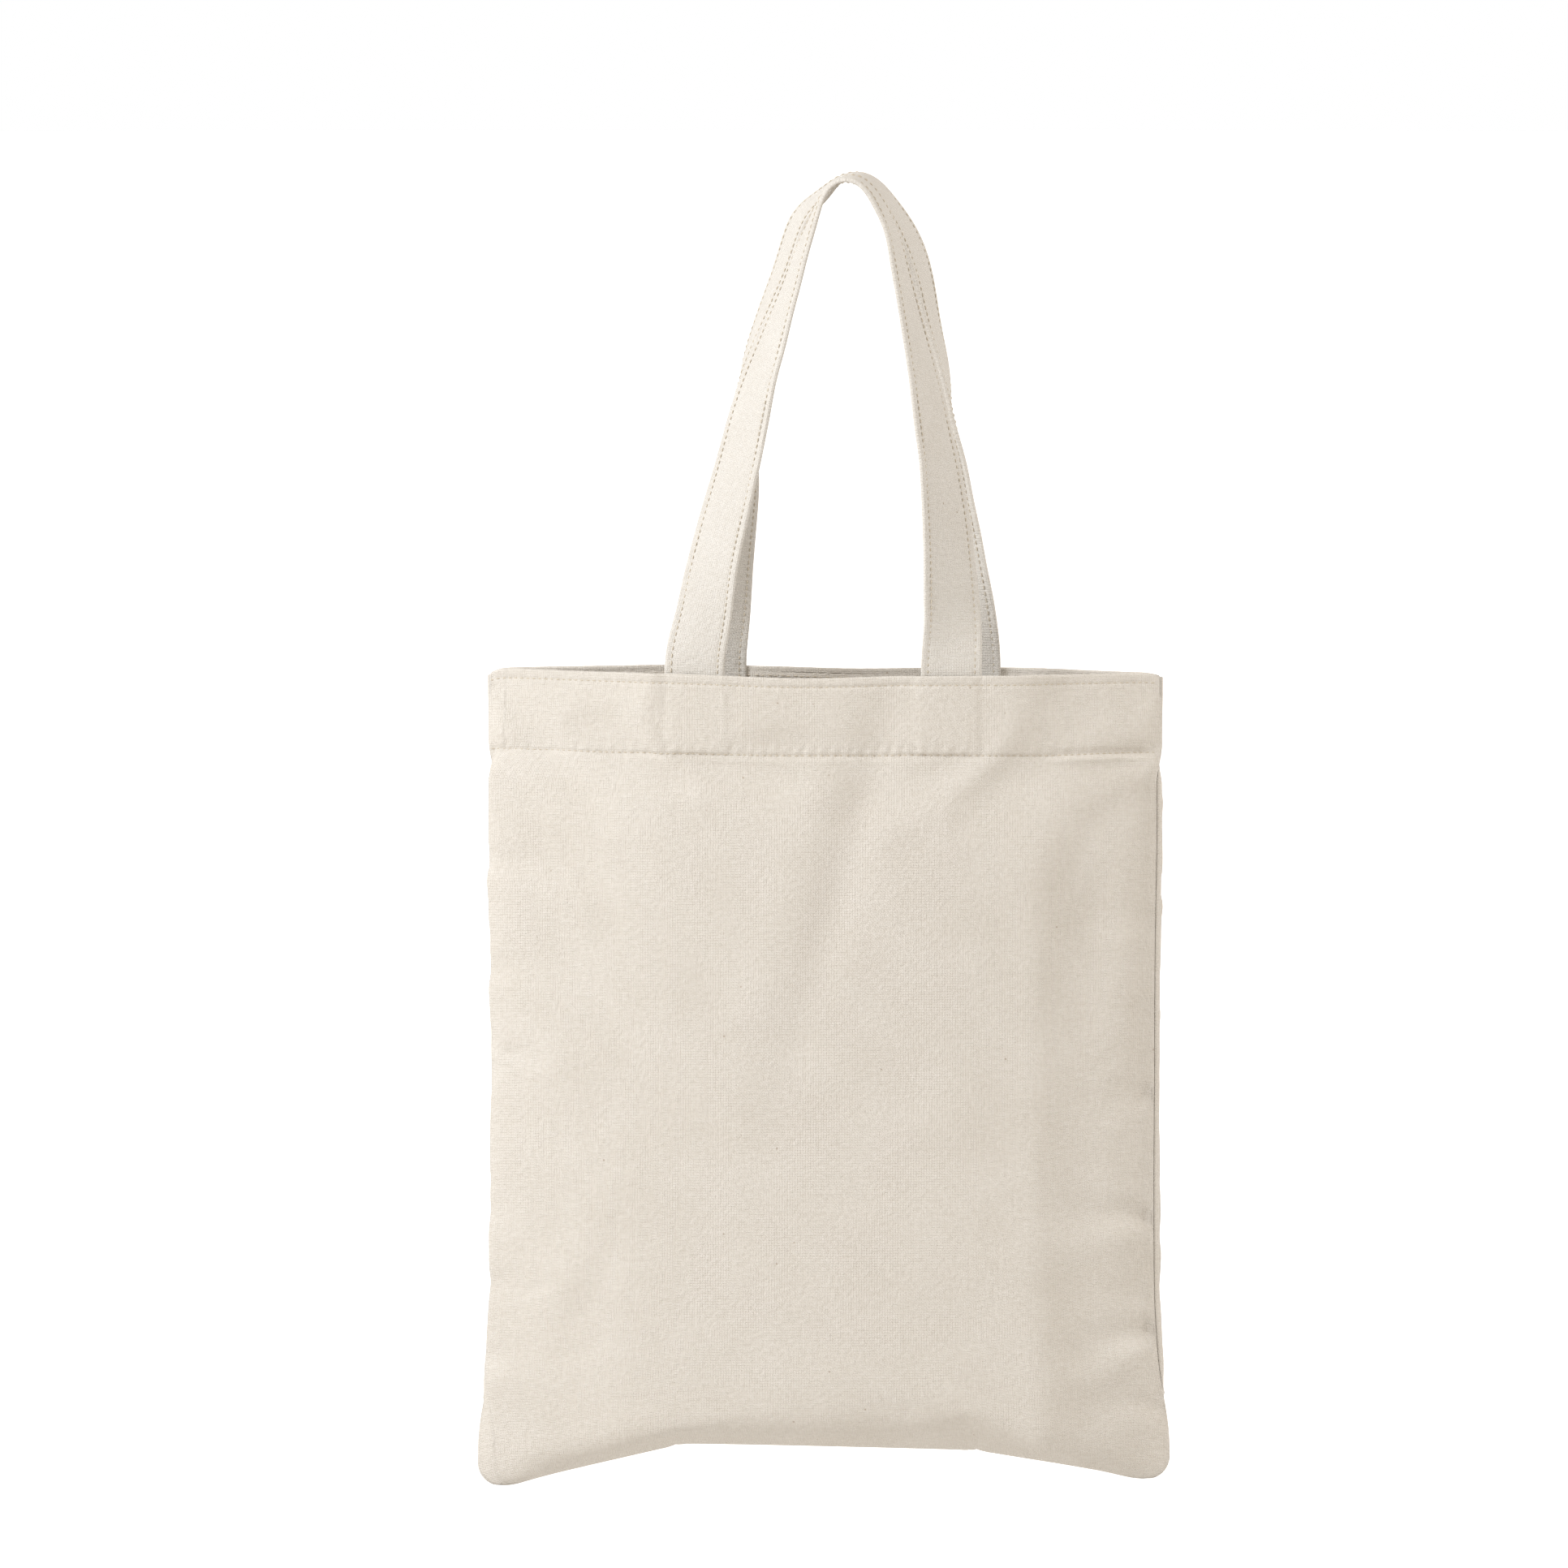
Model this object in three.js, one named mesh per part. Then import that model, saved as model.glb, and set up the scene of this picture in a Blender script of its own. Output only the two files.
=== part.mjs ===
// A flat-sewn canvas tote bag, hanging by its two handles.
// Millimetres. +Z up, +X to the right, -Y to the front. The origin is the hanging point: midway between
// the two handles' bights, level with their undersides, where they bear on a peg.

import * as THREE from 'three';

// ---- Driving dimensions ----

const CANVAS = 0.9; // one layer of canvas
const GAP = 0.3; // air left between two sewn layers
const SEAM_HALF_GAP = 0.6; // from the bag's middle plane to a panel's edge

const BODY_CENTRE = -13; // the body hangs a little left of the peg
const RIM_LEVEL = -244;
const RIM_WIDTH = 333;
const BASE_WIDTH = 342;
const BODY_DROP = 384; // rim to bottom edge, at the middle
const LEFT_CORNER_DROP = 19; // how much lower than the middle each bottom corner hangs
const RIGHT_CORNER_DROP = 15;
const CORNER_START = 0.45; // shares of the half width between which the bottom edge falls
const CORNER_END = 0.95;
const CORNER_RADIUS = 11;
const MOUTH_HALF_DEPTH = 28; // also the depth of the belly near the bottom
const WAIST_HALF_DEPTH = 24;
const CROWN_POWER = 2.8; // how full the body stays towards its side seams
const BOTTOM_ROLL = 22; // height over which a panel rolls under to the bottom seam

const HEM_HEIGHT = 40;
const HEM_SHARE = 0.97; // share of the half width that the turned hem covers
const RIM_STITCH_DROP = 3.5;
const HEM_STITCH_DROP = 38;

const STRAP_WIDTH = 30;
const STRAP_THICKNESS = 2.4;
const STRAP_SPACING = 63.5; // from a strap's middle to the centre of each leg
const FRONT_STRAP_CENTRE = 1; // each strap's middle, from the body's centre line
const BACK_STRAP_CENTRE = 5;
const ROOT_GAP = 0.5; // between a strap's sewn end and its free loop
const ROOT_STRAIGHT = 8; // the loop leaves the rim straight for this height
const PEG_RADIUS = 12;
const BIGHT_SHIFT = 15.4; // the two bights lie side by side on the peg, this far before and behind the origin
const ARC_END = 70; // degrees each side of the top over which a strap follows the peg

const SEAM_ALLOWANCE = 8; // width of the overlocked strip inside each seam
const SEAM_INSET = 4; // from the seam line to the strip's outer edge

const THREAD_WIDTH = 0.8;
const THREAD_THICKNESS = 0.4;
const THREAD_INSET = 3.5; // from a strap's edge to its topstitching

const PANEL_COLUMNS = 20;
const PANEL_ROWS = 15;
const PANEL_FLAT_SHARE = 0.6; // share of the rows above the bottom roll
const STRAP_STEPS = 64;

const FRONT = -1;
const BACK = 1;

// The route of each strap's leg from the rim to the peg, as [x, y, z, turn]: its centre line, and how many
// degrees it has turned from flat against the rim (0) to edge-on across the peg (90).
const FRONT_LEFT_LEG = [
  [-70.8, -21.7, -215, 16],
  [-65.2, -20.6, -185, 30],
  [-56, -19.3, -146, 44],
  [-45.4, -18.1, -107, 52],
  [-32, -16.8, -65, 66],
  [-20.3, -15.8, -28, 78],
];
const FRONT_RIGHT_LEG = [
  [52.3, -21.9, -220, 20],
  [50.9, -20.9, -195, 34],
  [48.9, -19.8, -164, 46],
  [43.6, -18.7, -129, 58],
  [33.8, -17.3, -80, 71],
  [27.9, -16.5, -54, 78],
  [19.9, -15.6, -22, 85],
];
const BACK_LEFT_LEG = [
  [-68.9, 21.8, -219, 16],
  [-63.9, 20.8, -192, 36],
  [-56.5, 19.3, -146, 68],
  [-55.4, 18.1, -107, 90],
  [-44.5, 17, -70, 104],
  [-35.6, 16.3, -46, 108],
  [-27.8, 15.5, -19, 112],
];
const BACK_RIGHT_LEG = [
  [54.9, 21.7, -217, 20],
  [53.2, 20.7, -188, 42],
  [48.8, 19, -137, 68],
  [46.3, 18.1, -108, 80],
  [39.6, 17, -72, 92],
  [32.7, 16.2, -44, 96],
  [23.1, 15.6, -22, 100],
];
const FRONT_BIGHT_TURNS = [86, 89, 90, 90, 88]; // the same turn along each stretch on the peg, left to right
const BACK_BIGHT_TURNS = [104, 96, 90, 92, 97];

// ---- Materials ----

const canvasMaterial = () => new THREE.MeshStandardMaterial({ color: 0xe8e0d4, roughness: 0.92, metalness: 0 });
const strapMaterial = () => new THREE.MeshStandardMaterial({ color: 0xeae4da, roughness: 0.9, metalness: 0 });
const overlockMaterial = () => new THREE.MeshStandardMaterial({ color: 0xe4dccd, roughness: 0.95, metalness: 0 });
const threadMaterial = () => new THREE.MeshStandardMaterial({ color: 0xefe9dd, roughness: 0.7, metalness: 0 });

// ---- Helpers ----

const radians = THREE.MathUtils.degToRad;
const lerp = THREE.MathUtils.lerp;
const clamp = THREE.MathUtils.clamp;

// Six times the volume that a closed geometry encloses; negative where its faces point in.
function signedVolume(geometry) {
  const corners = geometry.getAttribute('position');
  const index = geometry.getIndex();
  const [a, b, c] = [new THREE.Vector3(), new THREE.Vector3(), new THREE.Vector3()];
  let volume = 0;
  for (let i = 0; i < index.count; i += 3) {
    a.fromBufferAttribute(corners, index.getX(i));
    b.fromBufferAttribute(corners, index.getX(i + 1));
    c.fromBufferAttribute(corners, index.getX(i + 2));
    volume += a.dot(b.cross(c));
  }
  return volume;
}

// A closed slab bent into shape: place(u, v, w) gives the point for u across, v along and w through it,
// each from 0 to 1.
function bentSlab(columns, rows, place) {
  const geometry = new THREE.BoxGeometry(1, 1, 1, columns, rows, 1);
  const corners = geometry.getAttribute('position');
  for (let i = 0; i < corners.count; i += 1) {
    const point = place(corners.getX(i) + 0.5, corners.getY(i) + 0.5, corners.getZ(i) + 0.5);
    corners.setXYZ(i, point.x, point.y, point.z);
  }
  if (signedVolume(geometry) < 0) {
    geometry.getIndex().array.reverse();
  }
  geometry.computeVertexNormals();
  return geometry;
}

function mesh(name, geometry, material) {
  const made = new THREE.Mesh(geometry, material);
  made.name = name;
  return made;
}

// ---- The body's surface ----
// share runs from -1 at the left seam to 1 at the right one, and drop is the distance below the rim.

function bottomDrop(share) {
  const fall = clamp((Math.abs(share) - CORNER_START) / (CORNER_END - CORNER_START), 0, 1);
  return BODY_DROP + fall * (share < 0 ? LEFT_CORNER_DROP : RIGHT_CORNER_DROP);
}

function halfWidth(share, drop) {
  const cornerDrop = bottomDrop(Math.sign(share));
  const straight = lerp(RIM_WIDTH, BASE_WIDTH, drop / cornerDrop) / 2;
  const intoCorner = clamp(drop - cornerDrop + CORNER_RADIUS, 0, CORNER_RADIUS);
  return straight - CORNER_RADIUS + Math.sqrt(CORNER_RADIUS ** 2 - intoCorner ** 2);
}

function halfDepth(share, drop) {
  const crown = 1 - Math.abs(share) ** CROWN_POWER;
  const fullness = lerp(WAIST_HALF_DEPTH, MOUTH_HALF_DEPTH, Math.cos((Math.PI * drop) / BODY_DROP) ** 2);
  const rise = clamp((bottomDrop(share) - drop) / BOTTOM_ROLL, 0, 1);
  return fullness * crown * Math.sqrt(1 - (1 - rise) ** 2);
}

// A point of a panel's middle surface.
function panelPoint(side, share, drop) {
  const x = share * halfWidth(share, drop);
  const y = side * (SEAM_HALF_GAP + halfDepth(share, drop));
  return new THREE.Vector3(x, y, -drop);
}

// The direction into the bag, square to the panel's surface.
function inwardNormal(side, share, drop) {
  const step = 0.002;
  const low = Math.max(drop - 0.5, 0);
  const high = Math.min(drop + 0.5, bottomDrop(share));
  const across = panelPoint(side, Math.min(share + step, 1), drop);
  across.sub(panelPoint(side, Math.max(share - step, -1), drop));
  const down = panelPoint(side, share, high).sub(panelPoint(side, share, low));
  const normal = across.cross(down).normalize();
  return normal.multiplyScalar(-side);
}

// A point inward of the panel's middle surface, for the layers sewn to it.
function layerPoint(side, share, drop, inward) {
  const point = panelPoint(side, share, drop);
  return point.addScaledVector(inwardNormal(side, share, drop), inward);
}

// ---- Panels and hems ----

// Rows are even down to the bottom roll and then go round it by equal angles.
function rowDrop(share, along) {
  const bottom = bottomDrop(share);
  if (along < PANEL_FLAT_SHARE) {
    return (along / PANEL_FLAT_SHARE) * (bottom - BOTTOM_ROLL);
  }
  const angle = (((along - PANEL_FLAT_SHARE) / (1 - PANEL_FLAT_SHARE)) * Math.PI) / 2;
  return bottom - BOTTOM_ROLL * (1 - Math.sin(angle));
}

function panelGeometry(side) {
  return bentSlab(PANEL_COLUMNS, PANEL_ROWS, (u, v, w) => {
    const share = lerp(-1, 1, u);
    return layerPoint(side, share, rowDrop(share, v), (w - 0.5) * CANVAS);
  });
}

// The rim's edge turned to the inside of its panel.
function hemGeometry(side) {
  const outer = CANVAS / 2 + GAP;
  return bentSlab(PANEL_COLUMNS, 2, (u, v, w) => {
    return layerPoint(side, lerp(-HEM_SHARE, HEM_SHARE, u), v * HEM_HEIGHT, outer + w * CANVAS);
  });
}

// A row of stitching along a hem, lying on the panel's outer face.
function hemThreadGeometry(side, drop) {
  const inner = -CANVAS / 2 - GAP;
  return bentSlab(PANEL_COLUMNS, 1, (u, v, w) => {
    const share = lerp(-HEM_SHARE, HEM_SHARE, u);
    return layerPoint(side, share, drop + (v - 0.5) * THREAD_WIDTH, inner - w * THREAD_THICKNESS);
  });
}

// ---- Seam allowances, inside the bag ----

function sideSeamGeometry(direction) {
  const top = HEM_HEIGHT + 2;
  const bottom = BODY_DROP - BOTTOM_ROLL;
  return bentSlab(1, 8, (u, v, w) => {
    const drop = lerp(top, bottom, v);
    const x = direction * (halfWidth(direction, drop) - SEAM_INSET - u * SEAM_ALLOWANCE);
    return new THREE.Vector3(x, (w - 0.5) * 2 * CANVAS, -drop);
  });
}

function bottomSeamGeometry() {
  const reach = 0.93;
  return bentSlab(PANEL_COLUMNS, 1, (u, v, w) => {
    const share = lerp(-reach, reach, u);
    const drop = bottomDrop(share) - SEAM_INSET - v * SEAM_ALLOWANCE;
    return new THREE.Vector3((share * BASE_WIDTH) / 2, (w - 0.5) * 2 * CANVAS, -drop);
  });
}

// ---- Handles ----
// Each handle is one strap. Its two ends are sewn behind the hem, and the rest is the free loop.

const strapInward = CANVAS / 2 + GAP + CANVAS + GAP + STRAP_THICKNESS / 2;

function legShare(side, leg) {
  const centre = side === FRONT ? FRONT_STRAP_CENTRE : BACK_STRAP_CENTRE;
  return (centre + leg * STRAP_SPACING) / (RIM_WIDTH / 2);
}

function sewnEndGeometry(side, leg) {
  const halfShare = STRAP_WIDTH / RIM_WIDTH;
  return bentSlab(4, 2, (u, v, w) => {
    const share = legShare(side, leg) + lerp(-halfShare, halfShare, u);
    return layerPoint(side, share, v * (HEM_HEIGHT - 2), strapInward + (w - 0.5) * STRAP_THICKNESS);
  });
}

// Where a leg's centre line crosses the rim, in the bag's own frame.
function legRoot(side, leg) {
  const root = layerPoint(side, legShare(side, leg), 0, strapInward);
  return root.add(new THREE.Vector3(BODY_CENTRE, 0, RIM_LEVEL));
}

// The bearing, in degrees, of the panel's rim at a leg.
function rimBearing(side, leg) {
  const step = 0.02;
  const along = panelPoint(side, legShare(side, leg) + step, 0).sub(panelPoint(side, legShare(side, leg) - step, 0));
  return THREE.MathUtils.radToDeg(Math.atan2(along.y, along.x));
}

// Points of the stretch that lies on the peg, from left to right, with their turns.
function bightPoints(side) {
  const radius = PEG_RADIUS + STRAP_THICKNESS / 2;
  const turns = side === BACK ? BACK_BIGHT_TURNS : FRONT_BIGHT_TURNS;
  return turns.map((turn, number) => {
    const angle = radians(lerp(-ARC_END, ARC_END, number / (turns.length - 1)));
    return [radius * Math.sin(angle), side * BIGHT_SHIFT, radius * Math.cos(angle) - PEG_RADIUS, turn];
  });
}

// A strap's loop: the curve of its centre line, and its turn at each of the curve's points.
function strapLoop(side, leftLeg, rightLeg) {
  const upright = (root, height) => [root.x, root.y, root.z + height, 0];
  const left = legRoot(side, -1);
  const right = legRoot(side, 1);
  const route = [
    upright(left, ROOT_GAP),
    upright(left, ROOT_STRAIGHT),
    ...leftLeg,
    ...bightPoints(side),
    ...[...rightLeg].reverse(),
    upright(right, ROOT_STRAIGHT),
    upright(right, ROOT_GAP),
  ];
  const path = new THREE.CatmullRomCurve3(route.map(([x, y, z]) => new THREE.Vector3(x, y, z)));
  return { side, path, turns: route.map((point) => point[3]) };
}

function turnAt(turns, along) {
  const place = along * (turns.length - 1);
  const before = Math.min(Math.floor(place), turns.length - 2);
  return lerp(turns[before], turns[before + 1], place - before);
}

// The frame of a strap at one place: its centre, the direction of its leading edge, and its face normal.
// The leading edge's bearing starts along the rim, and turns so that the outward face ends up uppermost.
function strapFrame({ side, path, turns }, along) {
  const centre = path.getPoint(along);
  const tangent = path.getTangent(along);
  const leg = along < 0.5 ? -1 : 1;
  const turn = turnAt(turns, along);
  const flatBearing = 90 + side * (180 + leg * 90);
  const rimPart = rimBearing(side, leg) * (1 - clamp(turn / 90, 0, 1));
  const bearing = radians(flatBearing + rimPart - side * leg * turn);
  const edge = new THREE.Vector3(Math.cos(bearing), Math.sin(bearing), 0);
  edge.addScaledVector(tangent, -edge.dot(tangent)).normalize();
  return { centre, edge, face: edge.clone().cross(tangent) };
}

// A ribbon on a strap's frame, with a line of corners at each of the places across its width, and
// through it from near to far.
function ribbonGeometry(strap, places, near, far) {
  const columns = places.length - 1;
  return bentSlab(columns, STRAP_STEPS, (u, v, w) => {
    const { centre, edge, face } = strapFrame(strap, v);
    const across = places[Math.round(u * columns)];
    return centre.addScaledVector(edge, across).addScaledVector(face, lerp(near, far, w));
  });
}

const frontStrap = strapLoop(FRONT, FRONT_LEFT_LEG, FRONT_RIGHT_LEG);
const backStrap = strapLoop(BACK, BACK_LEFT_LEG, BACK_RIGHT_LEG);

function loopGeometry(strap) {
  const half = STRAP_WIDTH / 2;
  const stitched = half - THREAD_INSET;
  const places = [-half, -stitched, 0, stitched, half];
  return ribbonGeometry(strap, places, -STRAP_THICKNESS / 2, STRAP_THICKNESS / 2);
}

// A row of topstitching along one edge of a strap, on the face that lies outward.
function strapThreadGeometry(strap, edgeSide) {
  const middle = edgeSide * (STRAP_WIDTH / 2 - THREAD_INSET);
  const near = STRAP_THICKNESS / 2 + GAP;
  const places = [middle - THREAD_WIDTH / 2, middle + THREAD_WIDTH / 2];
  return ribbonGeometry(strap, places, near, near + THREAD_THICKNESS);
}

// ---- Assembly ----

// One half of the body: its panel, hem, sewn strap ends and stitching.
function bodyHalf(label, side) {
  const half = new THREE.Group();
  half.add(mesh(`${label}_panel`, panelGeometry(side), canvasMaterial()));
  half.add(mesh(`${label}_hem`, hemGeometry(side), canvasMaterial()));
  half.add(mesh(`${label}_rim_thread`, hemThreadGeometry(side, RIM_STITCH_DROP), threadMaterial()));
  half.add(mesh(`${label}_hem_thread`, hemThreadGeometry(side, HEM_STITCH_DROP), threadMaterial()));
  half.add(mesh(`${label}_strap_left_end`, sewnEndGeometry(side, -1), strapMaterial()));
  half.add(mesh(`${label}_strap_right_end`, sewnEndGeometry(side, 1), strapMaterial()));
  return half;
}

function handle(label, strap) {
  const made = new THREE.Group();
  made.add(mesh(`${label}_handle`, loopGeometry(strap), strapMaterial()));
  made.add(mesh(`${label}_handle_thread_a`, strapThreadGeometry(strap, 1), threadMaterial()));
  made.add(mesh(`${label}_handle_thread_b`, strapThreadGeometry(strap, -1), threadMaterial()));
  return made;
}

function seams() {
  const made = new THREE.Group();
  made.add(mesh('left_side_seam', sideSeamGeometry(-1), overlockMaterial()));
  made.add(mesh('right_side_seam', sideSeamGeometry(1), overlockMaterial()));
  made.add(mesh('bottom_seam', bottomSeamGeometry(), overlockMaterial()));
  return made;
}

const body = new THREE.Group();
body.position.set(BODY_CENTRE, 0, RIM_LEVEL);
body.add(bodyHalf('front', FRONT));
body.add(bodyHalf('back', BACK));
body.add(seams());

const toteBag = new THREE.Group();
toteBag.add(body);
toteBag.add(handle('front', frontStrap));
toteBag.add(handle('back', backStrap));

export default toteBag;
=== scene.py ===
"""A canvas tote bag hanging by its two handles: its looks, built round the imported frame.

Metres, in the frame's axes: +X to the right, +Y to the back, +Z up, with the hanging point at the origin.
The body is a cloth shell, settled by simulation; the straps, stitching and overlocking are built directly.
"""
import math

import bpy
import numpy as np
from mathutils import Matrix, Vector


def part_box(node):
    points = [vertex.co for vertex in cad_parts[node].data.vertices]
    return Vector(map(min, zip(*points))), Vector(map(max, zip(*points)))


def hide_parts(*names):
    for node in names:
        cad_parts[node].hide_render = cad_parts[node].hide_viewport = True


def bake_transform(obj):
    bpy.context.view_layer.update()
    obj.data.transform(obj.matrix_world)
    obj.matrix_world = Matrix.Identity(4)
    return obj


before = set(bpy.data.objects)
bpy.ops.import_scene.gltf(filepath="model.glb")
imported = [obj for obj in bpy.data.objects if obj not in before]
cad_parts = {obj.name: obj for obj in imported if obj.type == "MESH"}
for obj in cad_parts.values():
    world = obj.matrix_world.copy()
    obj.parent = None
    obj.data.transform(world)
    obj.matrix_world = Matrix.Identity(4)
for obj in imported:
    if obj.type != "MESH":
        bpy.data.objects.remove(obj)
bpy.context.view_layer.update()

MM = 0.001

# ---- The body's sizes: the frame's box, and the design's own values ----

PANEL_LOW, PANEL_HIGH = (np.array(corner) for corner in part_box("front_panel"))
RIM = float(PANEL_HIGH[2])
CENTRE_X = float(PANEL_LOW[0] + PANEL_HIGH[0]) / 2
BASE_HALF = float(PANEL_HIGH[0] - PANEL_LOW[0]) / 2
RIM_HALF = BASE_HALF - 4.5 * MM
LEFT_DROP = RIM - float(PANEL_LOW[2]) + 3.4 * MM  # rim to the left bottom corner
RIGHT_DROP = LEFT_DROP - 7.4 * MM
MIDDLE_DROP = LEFT_DROP - 19.8 * MM
MIDDLE_TILT = 1 * MM  # of the bottom edge, down to the left
CORNER_STARTS = {-1: 0.40, 1: 0.43}  # shares of the half width from which the bottom edge falls
CORNER_END = 0.94
CORNER_SOFTNESS = 0.035
CORNER_RADIUS = 11 * MM
MOUTH_END, WAIST = 15 * MM, 90 * MM  # where the round mouth ends and the waist is
WIDENING_START = 10 * MM
WAIST_WIDENING = 1.4 * MM
FLARE_START = 300 * MM  # below this the body widens towards its corners
LEFT_FLARE, RIGHT_FLARE = 2 * MM, 0.5 * MM  # how far the bottom corners reach past the frame's
MOUTH_DEPTH, WAIST_DEPTH = 28 * MM, 25 * MM  # half the bag's thickness at the mouth and at the waist
CROWN_POWER = 2.8  # how full the mouth stays towards its side seams
LEFT_FOLD, RIGHT_FOLD = 0.56, 0.66  # shares of the half width at which the flat middle folds back
LEFT_SOFTNESS, RIGHT_SOFTNESS = 0.09, 0.055  # how softly it folds there
BOTTOM_ROLL = 22 * MM  # height over which the panels round in
SEAM_HALF_GAP = 0.6 * MM
CANVAS = 0.85 * MM  # its thickness
FRONT, BACK = -1, 1

FLAT_LENGTH = 403 * MM  # one panel from rim to bottom seam, measured along the cloth
FLAT_WIDTH = 344 * MM  # and from side seam to side seam
ALLOWANCE = 9.5 * MM  # cloth turned inside past each seam
HEM = 38 * MM
RIM_STITCH = 3.5 * MM  # the upper row of stitches

# ---- The straps ----

STRAP_HALF = 15 * MM
STRAP_THICK = 2.4 * MM
STRAP_INWARD = 3.15 * MM  # from a panel's middle surface to the strap's
LEG_OFFSET = 63.5 * MM  # from a strap's middle to each of its legs, at the rim
STRAP_CENTRES = {FRONT: 1 * MM, BACK: 7.3 * MM}  # to the right of the bag's middle
PEG_RADIUS = 12 * MM
BIGHT_SHIFT = 15.4 * MM  # the two bights lie side by side on the peg
ARC_END = 70  # degrees each side of the top over which a strap follows the peg
STITCH_INSET = 3.5 * MM
STITCH_PITCH = 3.2 * MM
STRAP_STEPS = 560

# The route of each leg from the rim up, in millimetres, with how far it has turned, in degrees, from flat
# against the rim (0) to edge-on across the peg (90).
STRAP_LEGS = {
    (FRONT, -1): [
        (-71, -21.7, -215, 14), (-65.6, -20.6, -185, 27), (-55.7, -19.3, -146, 35), (-46.4, -18.1, -107, 46),
        (-32.6, -16.8, -65, 64), (-20.4, -15.8, -28, 77)],
    (FRONT, 1): [
        (51.7, -21.9, -220, 19), (50.5, -20.9, -195, 32), (48.1, -19.8, -164, 42), (43.1, -18.7, -129, 56),
        (33.6, -17.3, -80, 71), (27.7, -16.5, -54, 78), (19.9, -15.6, -22, 85)],
    (BACK, -1): [
        (-66.3, 21.8, -219, 16), (-62.7, 20.8, -192, 36), (-56.3, 19.3, -146, 58), (-56.8, 18.1, -107, 90),
        (-52.3, 17.6, -88, 99), (-45.3, 17, -70, 104), (-35.7, 16.3, -46, 108), (-25.8, 15.5, -19, 110)],
    (BACK, 1): [
        (56.5, 21.7, -217, 20), (54.6, 20.7, -188, 42), (49.2, 19, -137, 68), (46.4, 18.1, -108, 88),
        (38.6, 17, -72, 98), (32.7, 16.2, -44, 103), (23.2, 15.6, -22, 102)],
}
# How far each bight has turned at even steps over the peg.
BIGHT_TURNS = {FRONT: (86, 89, 90, 90, 88), BACK: (104, 96, 90, 92, 97)}

# ---- The cloth grid and its simulation ----

ROWS, COLUMNS = 104, 106  # of the cloth that is simulated
SETTLE_FRAMES = 24
MOST_MOVE = 12 * MM  # of any point while the cloth settles
SEAM_HOLD = 0.12  # how firmly the sewn edges keep to their line meanwhile
CURVE_SAMPLES = 600
FINISHED_COLUMNS = 2 * COLUMNS


def spaced(*zones):
    """Distances in metres through zones given as (start, end, spacing) in millimetres."""
    places = []
    for start, end, step in zones:
        places.append(np.linspace(start, end, int(round((end - start) / step)), endpoint=False))
    return np.concatenate([*places, [zones[-1][1]]]) * MM


# The finished cloth's rows below the rim: close together at the stitching.
ROW_PLACES = spaced((0, 7, 0.6), (7, 34, 1.9), (34, 43, 0.6), (43, 383, 2.6), (383, FLAT_LENGTH / MM, 1.6))
COLUMN_PLACES = np.linspace(-0.5, 0.5, FINISHED_COLUMNS + 1) * FLAT_WIDTH
SIDES = {FRONT: "front", BACK: "back"}


# ---- Small helpers ----

def smoothstep(value, low, high):
    share = np.clip((value - low) / (high - low), 0, 1)
    return share * share * (3 - 2 * share)


def bell(value, centre, width):
    return np.exp(-(((value - centre) / width) ** 2))


def bells(value, *shapes):
    """A sum of bell shapes, each given as its height, centre and width in millimetres."""
    return sum(high * MM * bell(value, centre * MM, width * MM) for high, centre, width in shapes)


def circle(count):
    return np.linspace(0, 2 * math.pi, count, endpoint=False)


def unit(vectors):
    return vectors / np.maximum(np.linalg.norm(vectors, axis=-1, keepdims=True), 1e-12)


def sample_rows(grid, places):
    """Rows at fractional row numbers, on smooth curves through the grid's rows."""
    padded = np.concatenate([2 * grid[:1] - grid[1:2], grid, 2 * grid[-1:] - grid[-2:-1]])
    before = np.minimum(places.astype(int), len(grid) - 2)
    part = (places - before).reshape(-1, *[1] * (grid.ndim - 1))
    a, b, c, d = (padded[before + step] for step in range(4))
    return b + 0.5 * part * (c - a + part * (2 * a - 5 * b + 4 * c - d + part * (3 * (b - c) + d - a)))


def finished_grid(sheet):
    """The settled cloth with the finished cloth's rows and columns."""
    rows = sample_rows(sheet, ROW_PLACES / FLAT_LENGTH * (len(sheet) - 1))
    columns = (COLUMN_PLACES / FLAT_WIDTH + 0.5) * (sheet.shape[1] - 1)
    return sample_rows(rows.swapaxes(0, 1), columns).swapaxes(0, 1)


def outward_normals(grid, side):
    """Unit normals of a panel's grid, whose rows go down and columns to the right."""
    down = np.gradient(grid, axis=0)
    across = np.gradient(grid, axis=1)
    return unit(np.cross(across, down)) * side


def ripples(across, down, wavelength, seed, count=14):
    """A smooth random height from -1 to 1, with about the wavelength given."""
    draw = np.random.default_rng(seed)
    total = np.zeros(np.broadcast(across, down).shape)
    for _ in range(count):
        angle = draw.uniform(0, math.pi)
        length = wavelength * draw.uniform(0.7, 1.6)
        along = across * math.cos(angle) + down * math.sin(angle)
        total += np.sin(2 * math.pi * along / length + draw.uniform(0, 2 * math.pi))
    return total / math.sqrt(count * 2)


def make_mesh(name, points, faces, uvs=None, material=None, smooth=True):
    """A mesh object from arrays. uvs holds each vertex's place on the flat cloth, in metres."""
    mesh = bpy.data.meshes.new(name)
    mesh.from_pydata([tuple(point) for point in points], [], [tuple(face) for face in faces])
    if uvs is not None:
        layer = mesh.uv_layers.new(name="cloth")
        corners = np.empty(len(mesh.loops), np.int32)
        mesh.loops.foreach_get("vertex_index", corners)
        layer.data.foreach_set("uv", np.asarray(uvs, np.float32)[corners].ravel())
    mesh.polygons.foreach_set("use_smooth", [smooth] * len(mesh.polygons))
    if material is not None:
        mesh.materials.append(material)
    made = bpy.data.objects.new(name, mesh)
    bpy.context.scene.collection.objects.link(made)
    return made


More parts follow.
